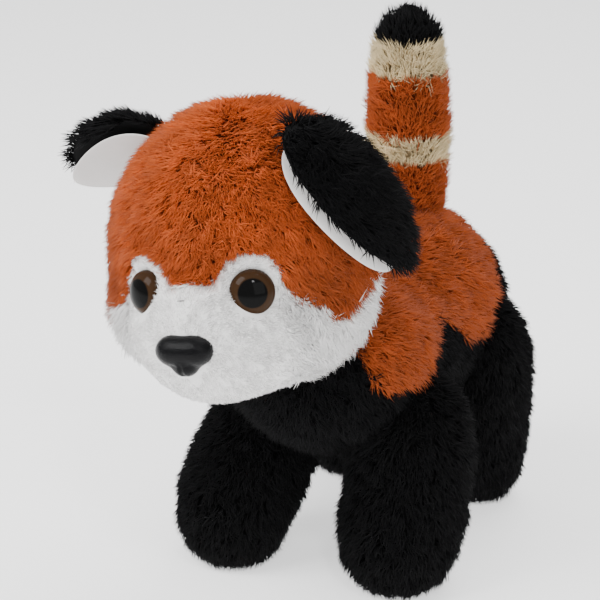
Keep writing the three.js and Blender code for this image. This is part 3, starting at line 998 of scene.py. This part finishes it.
def dome_points(direction, around, along, radius, height, depth):
    """A closed dome facing along its direction, as rings from its top to the middle of its base."""
    axis = unit(np.array(direction, float))
    side = unit(np.cross(axis, [0, 0, 1.0]))
    up = np.cross(side, axis)
    phi = np.arange(around) / around * 2 * math.pi
    rows, radial = [], []
    for ring in range(along + 1):
        t = ring / along
        if t <= FRONT_SHARE:
            angle = t / FRONT_SHARE * math.pi / 2
            r, h = radius * math.sin(angle), height * math.cos(angle)
        else:
            r, h = radius * (1 - (t - FRONT_SHARE) / (1 - FRONT_SHARE)), -depth
        circle = axis * h + r * (np.cos(phi)[:, None] * side + np.sin(phi)[:, None] * up)
        rows.append(circle if 0 < ring < along else circle[:1])
        radial.append(np.full(len(rows[-1]), r / radius if t <= FRONT_SHARE else 1.0))
    return np.vstack(rows), np.concatenate(radial)


def make_eye(name, side):
    direction = eye_direction(side)
    out = max(float(reach(direction[None], lump)[0]) for lump in HEAD_LUMPS)
    points, radial = dome_points(eye_facing(side), *GRIDS["eye"], EYE_RADIUS, EYE_DOME, EYE_SHANK)
    local = points + direction * (out - EYE_SINK)
    skin = Skin(name, from_head(local), *GRIDS["eye"])
    ring = ease(radial, *PUPIL_EDGE)[:, None]
    edge = ease(radial, *RIM_EDGE)[:, None]
    colour = EYE_COLOURS["pupil"] + (EYE_COLOURS["iris"] - EYE_COLOURS["pupil"]) * ring
    colour = colour + (EYE_COLOURS["rim"] - colour) * edge
    return skin, colour


eye_finish = eye_material()
for name, side in (("eye_left", 1), ("eye_right", -1)):
    skin, colour = make_eye(f"{name}_dome", side)
    skin_piece(skin, colour, eye_finish, [name])

# The nose: one moulded piece with a broad top, two nostrils and a cleft lower lip
NOSTRIL = dict(place=(2.3, -4.0, -2.8), size=(1.3, 1.6, 0.7), depth=0.35)
CLEFT = dict(width=0.45, depth=0.5)


def make_nose():
    directions = ball_directions(*GRIDS["nose"])
    radius = blended(directions, NOSE_LUMPS, NOSE_BLEND)
    points = directions * radius[:, None]
    for side in (-1, 1):
        nostril = np.array(NOSTRIL["place"]) * np.array([side, 1, 1])
        distance = np.linalg.norm((points - nostril) / np.array(NOSTRIL["size"]), axis=1)
        radius = radius - NOSTRIL["depth"] * np.exp(-distance ** 2)
    cleft = np.exp(-(points[:, 0] / CLEFT["width"]) ** 2)
    cleft = cleft * ease(-points[:, 2], 1.5, 3.0) * ease(-points[:, 1], 0.5, 2.0)
    radius = radius - CLEFT["depth"] * cleft
    return Skin("nose_moulding", from_head(directions * radius[:, None] + NOSE_CENTRE), *GRIDS["nose"])


def plastic_material(name, colour, roughness, grain):
    material, nodes, links, shader = new_material(name)
    place = nodes.new("ShaderNodeTexCoord")
    noise = nodes.new("ShaderNodeTexNoise")
    noise.inputs["Scale"].default_value = grain
    noise.inputs["Detail"].default_value = 2
    bump = nodes.new("ShaderNodeBump")
    bump.inputs["Strength"].default_value = 0.5
    bump.inputs["Distance"].default_value = 0.0003
    links.new(place.outputs["Object"], noise.inputs["Vector"])
    links.new(noise.outputs["Fac"], bump.inputs["Height"])
    links.new(bump.outputs["Normal"], shader.inputs["Normal"])
    shader.inputs["Base Color"].default_value = (*colour, 1)
    shader.inputs["Roughness"].default_value = roughness
    shader.inputs["Specular IOR Level"].default_value = 0.1
    return material


nose = make_nose()
nose_finish = plastic_material("nose_plastic", (0.0025, 0.0025, 0.003), roughness=0.2, grain=2600)
skin_piece(nose, np.zeros((len(nose.points), 3)), nose_finish, ["nose"])

# The mouth: two short turns of black thread, laid on the panel as (across, height) in the head's frame
STITCHES = [
    [(0.2, -20.6), (1.0, -21.2), (1.9, -21.5)],
    [(0.5, -21.6), (1.3, -21.1), (2.2, -20.9)],
]
STITCH_GIRTHS = [0.3, 0.4, 0.3]
STITCH_LIFT = 1.0
thread = plastic_material("black_thread", (0.01, 0.01, 0.01), roughness=0.8, grain=3000)
for number, line in enumerate(STITCHES):
    on_panel = unit(np.array([(across, NOSE_CENTRE[1], height) for across, height in line]))
    points = on_panel * (head_radius(on_panel) - PILE["panel"] + STITCH_LIFT)[:, None]
    stitch_points = limb_points(points, STITCH_GIRTHS, *GRIDS["thread"], depth=0, roundness=6)
    skin = Skin(f"mouth_stitch_{number + 1}", from_head(stitch_points), *GRIDS["thread"])
    skin_piece(skin, np.zeros((len(skin.points), 3)), thread, ["mouth_stitch"])

# The camera stands where the photo was taken from
AZIMUTH, ELEVATION = math.radians(30), math.radians(20)
CAMERA_DISTANCE = 600.0
CAMERA_TARGET = np.array([-17.0, 0.0, 75.0])
away = np.array([
    math.sin(AZIMUTH) * math.cos(ELEVATION),
    -math.cos(AZIMUTH) * math.cos(ELEVATION),
    math.sin(ELEVATION),
])
camera_data = bpy.data.cameras.new("camera")
camera_data.lens = 122.4
camera_data.sensor_width = 36.0
camera_data.clip_end = 10
camera = bpy.data.objects.new("camera", camera_data)
bpy.context.scene.collection.objects.link(camera)
camera.location = Vector(row(CAMERA_TARGET + away * CAMERA_DISTANCE))
camera.rotation_euler = Vector(-away).to_track_quat("-Z", "Y").to_euler()
bpy.context.scene.camera = camera


# Soft studio light on a pale floor
WORLD_LIGHT = 0.75
FLOOR_REACH = 3


def area_light(name, place, size, power):
    data = bpy.data.lights.new(name, "AREA")
    data.size = size
    data.energy = power
    light = bpy.data.objects.new(name, data)
    bpy.context.scene.collection.objects.link(light)
    light.location = place
    aim = Vector((0, 0, 0.07)) - Vector(place)
    light.rotation_euler = aim.to_track_quat("-Z", "Y").to_euler()


# Each light: its place in metres, its size and its power
LIGHTS = dict(
    key=((-0.35, -0.55, 0.75), 0.5, 9),
    fill=((0.75, -0.45, 0.45), 0.6, 2),
    top=((0.1, 0.35, 0.9), 0.6, 5),
    catch=((0.45, -0.53, 0.81), 0.11, 2.2),
)
for name, (place, size, power) in LIGHTS.items():
    area_light(name, place, size, power)
world = bpy.data.worlds.new("studio")
world.use_nodes = True
world.node_tree.nodes["Background"].inputs["Color"].default_value = (1, 1, 1, 1)
world.node_tree.nodes["Background"].inputs["Strength"].default_value = WORLD_LIGHT
bpy.context.scene.world = world

floor_mesh = bpy.data.meshes.new("floor")
corners = [(x * FLOOR_REACH, y * FLOOR_REACH, 0) for x, y in ((-1, -1), (1, -1), (1, 1), (-1, 1))]
floor_mesh.from_pydata(corners, [], [(0, 1, 2, 3)])
floor = bpy.data.objects.new("floor", floor_mesh)
bpy.context.scene.collection.objects.link(floor)
floor_finish, nodes, links, shader = new_material("floor_paper")
shader.inputs["Base Color"].default_value = (0.95, 0.95, 0.95, 1)
shader.inputs["Roughness"].default_value = 0.9
shader.inputs["Emission Color"].default_value = (1, 1, 1, 1)
shader.inputs["Emission Strength"].default_value = 0.9
floor_mesh.materials.append(floor_finish)
